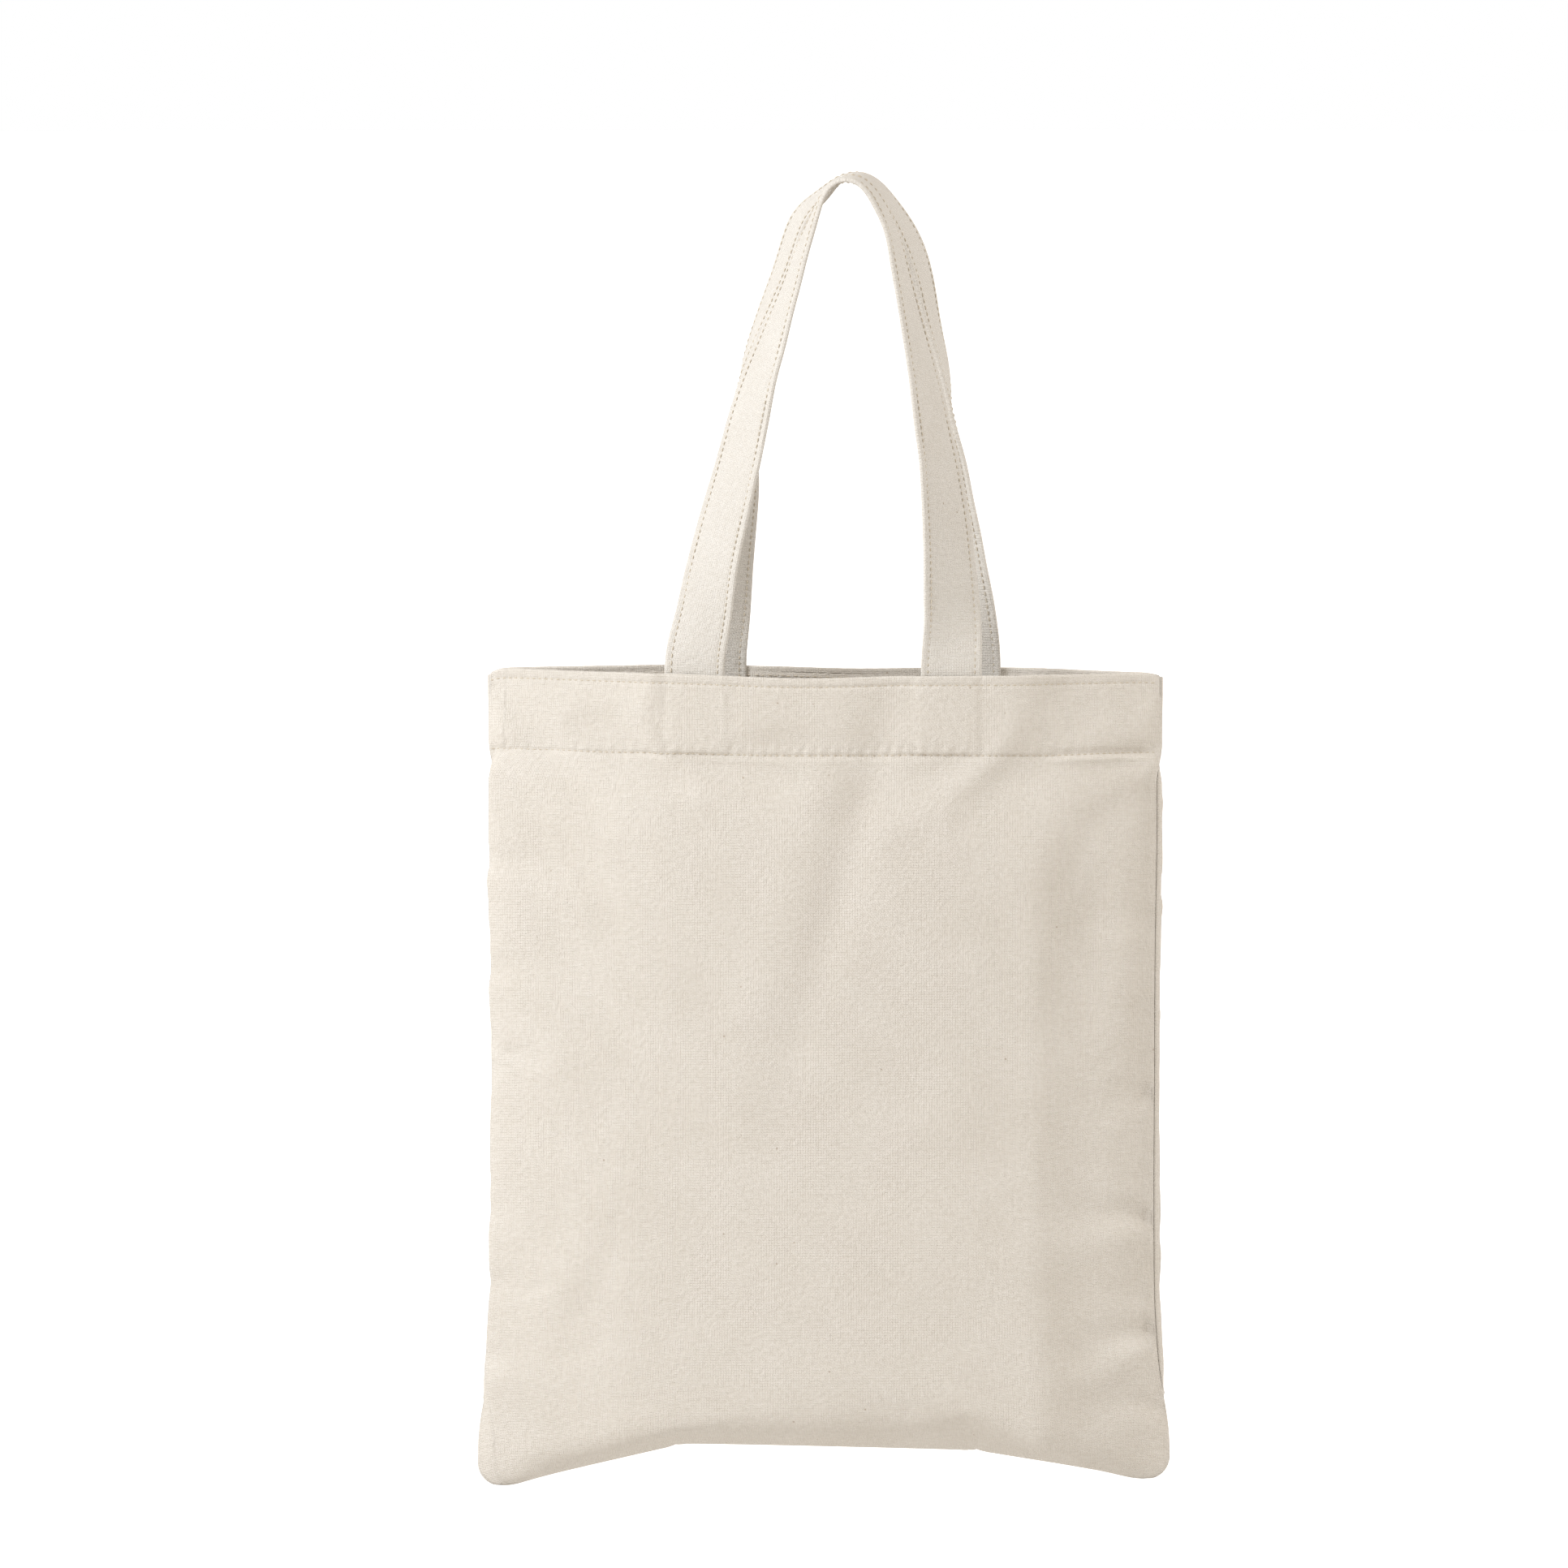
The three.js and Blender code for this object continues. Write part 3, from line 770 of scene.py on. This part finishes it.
def strap_profile(across, lengths):
    """Half the strap's thickness: pulled in along its stitches, and round at the edges."""
    out = np.abs(across)
    line = STRAP_HALF - STITCH_INSET
    thick = np.full_like(out, STRAP_THICK / 2) + STRAP_CROWN * bell(across, 0, 8 * MM)
    pull = STITCH_PULL + STITCH_PULL_CHANGE * np.cos(2 * math.pi * lengths / STITCH_PITCH)
    thick = thick - pull * bell(out, line, 0.9 * MM)
    rounding = np.clip((out - (STRAP_HALF - EDGE_ROUND)) / EDGE_ROUND, 0, 1)
    return thick * np.sqrt(1 - rounding ** 2)


def strap(side, frame_of_strap, material):
    centre, edge, face, lengths = frame_of_strap
    half = np.array(STRAP_PLACES) * MM
    places = np.concatenate([-half[:0:-1], half])
    around = np.concatenate([places, places[-2:0:-1]])
    facing = np.concatenate([np.ones(len(places)), -np.ones(len(places) - 2)])
    along = lengths[:, None]
    thick = strap_profile(around[None, :], along) * facing
    wander = STRAP_WANDER * ripples(0, along, 46 * MM, 71 + side)
    lift = wander + STRAP_WAVES * ripples(around[None, :], along, 30 * MM, 83 + side)
    sideways = around[None, :] * (1 + STRAP_WIDTH_CHANGE * ripples(0, along, 60 * MM, 91 + side))
    points = centre[:, None] + edge[:, None] * sideways[..., None]
    points = points + face[:, None] * (thick + lift)[..., None]
    rows, columns = points.shape[:2]
    number = np.arange(rows * columns).reshape(rows, columns)
    half_turn = np.concatenate([[0], np.cumsum(np.abs(np.diff(around)))])
    places = np.stack(np.meshgrid(half_turn, lengths), axis=-1).reshape(-1, 2)
    return make_mesh(f"{SIDES[side]}_strap", points.reshape(-1, 3), tube_faces(number), places, material)


# ---- Stitching ----

THREAD = 0.3 * MM  # its radius
STITCH_LENGTH = 2.5 * MM
STITCH_RISE, STITCH_SINK = 0.42 * MM, 0.3 * MM
STITCH_RINGS, STITCH_SIDES = 7, 6
OUTER_MARGIN, INNER_MARGIN = 2.5 * MM, 14 * MM  # at the ends of a panel's rows


def stitches(name, middles, alongs, outs, material):
    """A row of lock stitches: short threads that rise from the cloth and dive back into it."""
    share = np.linspace(0, 1, STITCH_RINGS)
    arch = np.sin(math.pi * share)
    spin = circle(STITCH_SIDES)
    thick = THREAD * np.sqrt(np.clip(arch, 0.06, 1))
    sides = np.cross(alongs, outs)
    path = (middles[:, None] + alongs[:, None] * ((share - 0.5) * STITCH_LENGTH)[None, :, None]
            + outs[:, None] * (arch * STITCH_RISE - STITCH_SINK)[None, :, None])
    ring = (sides[:, None, None] * np.cos(spin)[None, None, :, None]
            + outs[:, None, None] * np.sin(spin)[None, None, :, None])
    points = path[:, :, None] + ring * thick[None, :, None, None]
    count = len(middles)
    number = np.arange(count * STITCH_RINGS * STITCH_SIDES).reshape(count, STITCH_RINGS, STITCH_SIDES)
    closed = np.concatenate([number, number[:, :, :1]], axis=2)
    corners = closed[:, :-1, :-1], closed[:, 1:, :-1], closed[:, 1:, 1:], closed[:, :-1, 1:]
    faces = [tuple(quad) for quad in np.stack(corners, axis=-1).reshape(-1, 4)]
    faces += [tuple(cap[::-1]) for cap in number[:, 0]] + [tuple(cap) for cap in number[:, -1]]
    return make_mesh(name, points.reshape(-1, 3), faces, None, material)


def panel_stitches(name, sheet, side, drop, inward, margin, material):
    """A row of stitches across a panel, at one distance below the rim."""
    normals = outward_normals(sheet, side)
    low = int(np.searchsorted(ROW_PLACES, drop)) - 1
    part = (drop - ROW_PLACES[low]) / (ROW_PLACES[low + 1] - ROW_PLACES[low])
    line = sheet[low] * (1 - part) + sheet[low + 1] * part
    out = unit(normals[low] * (1 - part) + normals[low + 1] * part)
    lengths = lengths_along(line)
    places = np.arange(margin, lengths[-1] - margin, STITCH_PITCH)
    middles = sampled(places, lengths, line)
    outs = unit(sampled(places, lengths, out))
    alongs = unit(np.gradient(middles, axis=0))
    if inward:
        middles, outs = middles - outs * inward, -outs
    return stitches(name, middles, alongs, outs, material)


def strap_stitches(name, frame_of_strap, edge_side, face_side, material):
    """A row of stitches along one edge of a strap, on one of its faces."""
    centre, edge, face, lengths = frame_of_strap
    places = np.arange(3 * MM, lengths[-1] - 3 * MM, STITCH_PITCH)
    middle, edges, faces = (sampled(places, lengths, part) for part in (centre, edge, face))
    line = edge_side * (STRAP_HALF - STITCH_INSET)
    height = strap_profile(np.array([line]), np.array([STITCH_PITCH / 2]))[0]
    outs = unit(faces) * face_side
    middles = middle + unit(edges) * line + outs * height
    alongs = unit(np.gradient(middles, axis=0))
    return stitches(name, middles, alongs, outs, material)


# ---- Overlocked seam allowances ----

LOOP_PITCH = 2.6 * MM
LOOP_POINTS, LOOP_SIDES = 10, 5
LOOP_MIDDLE, LOOP_REACH = ALLOWANCE - 1.9 * MM, 2.3 * MM  # inward from the seam
LOOP_HEIGHT = 1.55 * MM
LOOP_THREAD = 0.32 * MM


def overlock(name, line, inward, material):
    """Overlocking round the raw edges of a seam: thread in flat loops along the line."""
    lengths = lengths_along(line)
    loops = int(lengths[-1] / LOOP_PITCH)
    turn = np.linspace(0, loops, loops * LOOP_POINTS + 1)
    base = sampled(turn * LOOP_PITCH, lengths, line)
    angle = 2 * math.pi * turn
    deep = LOOP_MIDDLE + LOOP_REACH * np.cos(angle)
    path = base + np.array(inward) * deep[:, None]
    path[:, 1] += LOOP_HEIGHT * np.sin(angle)
    tangent = unit(np.gradient(path, axis=0))
    first = unit(np.cross(tangent, np.array([0.3, 1.0, 0.2])))
    second = np.cross(tangent, first)
    spin = circle(LOOP_SIDES)
    ring = first[:, None] * np.cos(spin)[None, :, None] + second[:, None] * np.sin(spin)[None, :, None]
    points = path[:, None] + LOOP_THREAD * ring
    number = np.arange(points.shape[0] * LOOP_SIDES).reshape(-1, LOOP_SIDES)
    return make_mesh(name, points.reshape(-1, 3), tube_faces(number), None, material)


# ---- Materials ----

# The light and the dark tone of each material.
CANVAS_TONES = (0.865, 0.825, 0.775), (0.685, 0.63, 0.555)
STRAP_TONES = (0.84, 0.815, 0.78), (0.70, 0.655, 0.59)
# The sewing thread is coloured darker than the cream thread itself: painted shade of the stitch holes and
# grooves it lies in.
THREAD_TONES_WITH_HOLE_SHADE = (0.72, 0.65, 0.54), (0.52, 0.45, 0.35)
OVERLOCK_TONES = (0.84, 0.79, 0.70), (0.68, 0.61, 0.50)
FLOOR_TONES = (0.84, 0.825, 0.80), (0.80, 0.785, 0.76)
FLECK_COLOUR = (0.33, 0.22, 0.13)
WEAVE_PITCH = 0.8 * MM  # from thread to thread
WEAVE_RELIEF, PLY_RELIEF = 0.28 * MM, 0.08 * MM


def feed(tree, socket, value):
    """Links a node's output to a socket, or sets the socket to a constant."""
    if isinstance(value, bpy.types.NodeSocket):
        tree.links.new(value, socket)
    else:
        socket.default_value = value


def add(tree, kind, settings=None, **inputs):
    """Adds a node, sets its properties, and feeds its inputs, by name or by number as i0, i1 and so on."""
    node = tree.nodes.new(kind)
    for key, value in (settings or {}).items():
        setattr(node, key, value)
    for key, value in inputs.items():
        numbered = key[0] == "i" and key[1:].isdigit()
        feed(tree, node.inputs[int(key[1:]) if numbered else key], value)
    return node


def maths(tree, operation, first, second=0.0, third=0.0):
    return add(tree, "ShaderNodeMath", {"operation": operation}, i0=first, i1=second, i2=third).outputs[0]


def vector_maths(tree, operation, *vectors):
    inputs = {f"i{number}": vector for number, vector in enumerate(vectors)}
    return add(tree, "ShaderNodeVectorMath", {"operation": operation}, **inputs).outputs[0]


def noise(tree, place, scale, detail, output="Fac", **inputs):
    return add(tree, "ShaderNodeTexNoise", Vector=place, Scale=scale, Detail=detail, **inputs).outputs[output]


def mapped(tree, value, low, high, to_low=0.0, to_high=1.0):
    return add(tree, "ShaderNodeMapRange", Value=value, i1=low, i2=high, i3=to_low, i4=to_high).outputs[0]


def blend_colour(tree, share, low, high):
    return add(tree, "ShaderNodeMix", {"data_type": "RGBA"}, i0=share, i6=low, i7=high).outputs[2]


def bump(tree, height, strength, distance):
    return add(tree, "ShaderNodeBump", Height=height, Strength=strength, Distance=distance).outputs[0]


def new_material(name):
    """A material, its node tree, and a function that feeds the inputs of its shader."""
    material = bpy.data.materials.new(name)
    material.use_nodes = True
    tree = material.node_tree

    def shade(**inputs):
        for key, value in inputs.items():
            feed(tree, tree.nodes["Principled BSDF"].inputs[key.replace("_", " ")], value)

    return material, tree, shade


def weave_height(tree, place):
    """The crossing threads of a plain weave, each on top at every other crossing."""
    wander = noise(tree, place, 420.0, 1.0, "Color")
    offset = vector_maths(tree, "MULTIPLY_ADD", wander, (0.3 * MM, 0.3 * MM, 0.0), place)
    parts = add(tree, "ShaderNodeSeparateXYZ", i0=offset)
    warp = maths(tree, "SINE", maths(tree, "MULTIPLY", parts.outputs[0], math.pi / WEAVE_PITCH))
    weft = maths(tree, "SINE", maths(tree, "MULTIPLY", parts.outputs[1], math.pi / WEAVE_PITCH))
    crossing = maths(tree, "MULTIPLY", maths(tree, "MULTIPLY", warp, weft), 0.6)
    warp_top = maths(tree, "ADD", maths(tree, "ABSOLUTE", warp), crossing)
    weft_top = maths(tree, "SUBTRACT", maths(tree, "ABSOLUTE", weft), crossing)
    return maths(tree, "MAXIMUM", warp_top, weft_top)


def slub_height(tree, place):
    """Thick and thin stretches of yarn, along both ways of the weave."""
    height = 0.0
    for scale in ((140.0, 1050.0, 1.0), (1100.0, 150.0, 1.0)):
        slubs = noise(tree, vector_maths(tree, "MULTIPLY", place, scale), 1.0, 2.0)
        height = maths(tree, "MULTIPLY_ADD", slubs, 0.5, height)
    return height


def with_flecks(tree, place, colour):
    """The colour with the small brown seed flecks of unbleached cotton."""
    cells = add(tree, "ShaderNodeTexVoronoi", Vector=place, Scale=115.0, Randomness=1.0)
    near = mapped(tree, cells.outputs["Distance"], 0.035, 0.075, 1.0, 0.0)
    pick = add(tree, "ShaderNodeSeparateColor", i0=cells.outputs["Color"]).outputs[0]
    chosen = maths(tree, "GREATER_THAN", pick, 0.9)
    fleck = maths(tree, "MULTIPLY", maths(tree, "MULTIPLY", near, chosen), 0.55)
    return blend_colour(tree, fleck, colour, (*FLECK_COLOUR, 1))


def canvas_material(name, light, dark):
    """Plain-woven unbleached cotton: crossing threads, slubs, soft mottling and seed flecks."""
    material, tree, shade = new_material(name)
    place = add(tree, "ShaderNodeUVMap", {"uv_map": "cloth"}).outputs[0]
    weave = weave_height(tree, place)
    slub = slub_height(tree, place)
    pebble = noise(tree, place, 430.0, 2.0)
    mottle = noise(tree, place, 28.0, 4.0, Roughness=0.6)

    tone = maths(tree, "MULTIPLY_ADD", weave, 0.22, maths(tree, "MULTIPLY", slub, 0.45))
    tone = maths(tree, "MULTIPLY_ADD", mottle, 0.4, tone)
    tone = maths(tree, "MULTIPLY_ADD", pebble, 0.5, tone)
    colour = blend_colour(tree, mapped(tree, tone, 0.55, 1.3), (*dark, 1), (*light, 1))
    height = maths(tree, "MULTIPLY_ADD", pebble, 4.0, maths(tree, "MULTIPLY_ADD", slub, 0.9, weave))
    shade(Base_Color=with_flecks(tree, place, colour), Normal=bump(tree, height, 0.75, WEAVE_RELIEF),
          Roughness=mapped(tree, weave, 0.0, 1.5, 0.97, 0.86), Sheen_Weight=0.18, Sheen_Roughness=0.55,
          Sheen_Tint=(1.0, 0.97, 0.92, 1), Specular_IOR_Level=0.25)
    return material


def thread_material(name, light, dark):
    """Twisted cotton sewing thread: fine slanting plies, slightly shinier than the cloth."""
    material, tree, shade = new_material(name)
    place = add(tree, "ShaderNodeTexCoord").outputs["Object"]
    plies = add(tree, "ShaderNodeTexWave", {"bands_direction": "DIAGONAL"}, Vector=place, Scale=900.0,
                Distortion=1.5).outputs["Fac"]
    fuzz = noise(tree, place, 700.0, 2.0)
    share = maths(tree, "MULTIPLY_ADD", plies, 0.6, maths(tree, "MULTIPLY", fuzz, 0.4))
    shade(Base_Color=blend_colour(tree, share, (*dark, 1), (*light, 1)),
          Normal=bump(tree, share, 0.5, PLY_RELIEF), Roughness=0.7, Sheen_Weight=0.15)
    return material


def floor_material(name, light, dark):
    """A plain floor that the camera sees as white as the background."""
    material, tree, shade = new_material(name)
    place = add(tree, "ShaderNodeTexCoord").outputs["Object"]
    grain = noise(tree, place, 3.0, 3.0)
    seen = add(tree, "ShaderNodeLightPath").outputs["Is Camera Ray"]
    shade(Base_Color=blend_colour(tree, grain, (*dark, 1), (*light, 1)), Roughness=0.9,
          Emission_Color=(1, 1, 1, 1), Emission_Strength=maths(tree, "MULTIPLY", seen, FLOOR_GLOW))
    return material


# ---- Camera, light and floor ----

VIEW_WIDTH = 0.772  # width of the view at the bag
CAMERA_TURN, CAMERA_RISE = 5.0, 5.4  # in degrees
CAMERA_DISTANCE = 8.0
SENSOR = 36.0
VIEW_MIDDLE = Vector((-0.0328, -0.004, -0.299))
FLOOR_LEVEL, FLOOR_RADIUS, FLOOR_POINTS = -1.6, 30, 96
FLOOR_GLOW = 0.9  # keeps the floor as white as the background
WORLD_COLOUR, WORLD_STRENGTH = (1.0, 0.955, 0.9, 1), 0.83
# Each light's name, place, size, power in watts and colour.
LIGHTS = (
    ("key", (-1.58, -1.02, 0.55), 0.9, 28.5, (0.94, 0.97, 1.0)),
    ("fill", (2.75, 0.1, 0.7), 1.6, 20.0, (1.0, 0.96, 0.9)),
    ("back", (-0.9, 2.8, 0.8), 1.6, 13.0, (1.0, 0.98, 0.95)),
)


def place_aimed(name, data, place):
    """Adds a camera or light that looks at the middle of the view."""
    made = bpy.data.objects.new(name, data)
    made.location = place
    made.rotation_mode = "QUATERNION"
    made.rotation_quaternion = (VIEW_MIDDLE - Vector(place)).to_track_quat("-Z", "Y")
    bpy.context.scene.collection.objects.link(made)
    return made


def make_camera():
    turn, rise = math.radians(CAMERA_TURN), math.radians(CAMERA_RISE)
    back = Vector((math.sin(turn) * math.cos(rise), -math.cos(turn) * math.cos(rise), math.sin(rise)))
    camera = place_aimed("camera", bpy.data.cameras.new("camera"), VIEW_MIDDLE + back * CAMERA_DISTANCE)
    camera.data.sensor_width = SENSOR
    camera.data.lens = SENSOR * CAMERA_DISTANCE / VIEW_WIDTH
    camera.data.clip_end = 2 * FLOOR_RADIUS
    bpy.context.scene.camera = camera


def area_light(name, place, size, power, colour):
    lamp = place_aimed(name, bpy.data.lights.new(name, "AREA"), place)
    lamp.data.size = size
    lamp.data.energy = power
    lamp.data.color = colour


def make_light():
    bpy.context.scene.view_settings.view_transform = "Standard"
    for light in LIGHTS:
        area_light(*light)
    world = bpy.data.worlds.new("studio")
    bpy.context.scene.world = world
    world.use_nodes = True
    tree = world.node_tree
    background = tree.nodes["Background"]
    feed(tree, background.inputs[0], WORLD_COLOUR)
    feed(tree, background.inputs[1], WORLD_STRENGTH)
    seen = add(tree, "ShaderNodeBackground", i0=(1, 1, 1, 1), i1=1.0).outputs[0]
    path = add(tree, "ShaderNodeLightPath").outputs["Is Camera Ray"]
    mix = add(tree, "ShaderNodeMixShader", i0=path, i1=background.outputs[0], i2=seen).outputs[0]
    feed(tree, tree.nodes["World Output"].inputs[0], mix)


def make_floor():
    turns = circle(FLOOR_POINTS)
    points = [(FLOOR_RADIUS * math.cos(turn), FLOOR_RADIUS * math.sin(turn), FLOOR_LEVEL) for turn in turns]
    material = floor_material("floor", *FLOOR_TONES)
    floor = make_mesh("floor", points, [tuple(range(len(points)))], None, material, smooth=False)


# ---- Assembly ----

SEAM_TOP_GAP, SEAM_CORNER_GAP = 4 * MM, 22 * MM  # at the ends of a side's overlocking
BOTTOM_SKIPPED = 15  # columns at each end of the bottom seam


def join_front_to_back(piece):
    """Bakes the piece's transform into its mesh."""
    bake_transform(piece)


def build_panel_stitches(side, sheet, thread):
    """The stitches along a panel's rim and hem, on both faces."""
    label = SIDES[side]
    rows = []
    for row, drop in (("rim", RIM_STITCH), ("hem", HEM)):
        for face, inward, margin in (("outer", 0.0, OUTER_MARGIN), ("inner", HEM_OFFSET, INNER_MARGIN)):
            name = f"{label}_{row}_stitches_{face}"
            made = panel_stitches(name, sheet, side, drop, inward, margin, thread)
            join_front_to_back(made)
            rows.append(made)
        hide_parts(f"{label}_{row}_thread")
    return rows


def build_body(sheets, canvas, thread):
    for side, label in SIDES.items():
        sheet = shape_panel(sheets[side], side)
        cloth = panel_cloth(side, sheet, canvas)
        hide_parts(f"{label}_panel", f"{label}_hem")
        join_front_to_back(cloth)
        rows = build_panel_stitches(side, sheet, thread)


def build_strap_stitches(side, shape, thread):
    """The two rows of stitches along a strap, on both faces."""
    label = SIDES[side]
    rows = []
    for edge_side, letter in ((1, "a"), (-1, "b")):
        for face_side, face in ((1, "outer"), (-1, "inner")):
            name = f"{label}_strap_stitches_{letter}_{face}"
            made = strap_stitches(name, shape, edge_side, face_side, thread)
            rows.append(made)
        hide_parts(f"{label}_handle_thread_{letter}")
    return rows


def build_straps(canvas, thread):
    for side, label in SIDES.items():
        shape = strap_frame(side)
        made = strap(side, shape, canvas)
        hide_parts(f"{label}_handle", f"{label}_strap_left_end", f"{label}_strap_right_end")
        rows = build_strap_stitches(side, shape, thread)
        for piece in (made, *rows):
            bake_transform(piece)


def build_seams(sheets, thread):
    """The overlocking inside the side and bottom seams."""
    rolled = seam_roll(ROW_PLACES)[:, None]
    covered = (ROW_PLACES > HEM + SEAM_TOP_GAP) & (ROW_PLACES < FLAT_LENGTH - SEAM_CORNER_GAP)
    seams = finished_grid(sheets[FRONT])
    seams[..., 1] = 0
    left = (seams[:, 0] + seam_shift(-1) * rolled)[covered]
    right = (seams[:, -1] + seam_shift(1) * rolled)[covered]
    bottom = seams[-1, BOTTOM_SKIPPED:-BOTTOM_SKIPPED]
    for name, line, inward in (
        ("left_side_seam", left, (1, 0, 0)),
        ("right_side_seam", right, (-1, 0, 0)),
        ("bottom_seam", bottom, (0, 0, 1)),
    ):
        made = overlock(f"{name}_overlock", line, inward, thread)
        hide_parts(name)
        join_front_to_back(made)


def main():
    make_camera()
    make_light()
    make_floor()
    canvas = canvas_material("canvas", *CANVAS_TONES)
    strap_canvas = canvas_material("strap_canvas", *STRAP_TONES)
    # The stitching thread's darker tones are partly painted shade of the stitch holes.
    thread = thread_material("thread", *THREAD_TONES_WITH_HOLE_SHADE)
    overlock_thread = thread_material("overlock_thread", *OVERLOCK_TONES)
    sheets = {side: panel_sheet(side) for side in SIDES}
    sheets = settle(sheets)
    build_body(sheets, canvas, thread)
    build_straps(strap_canvas, thread)
    build_seams(sheets, overlock_thread)


main()
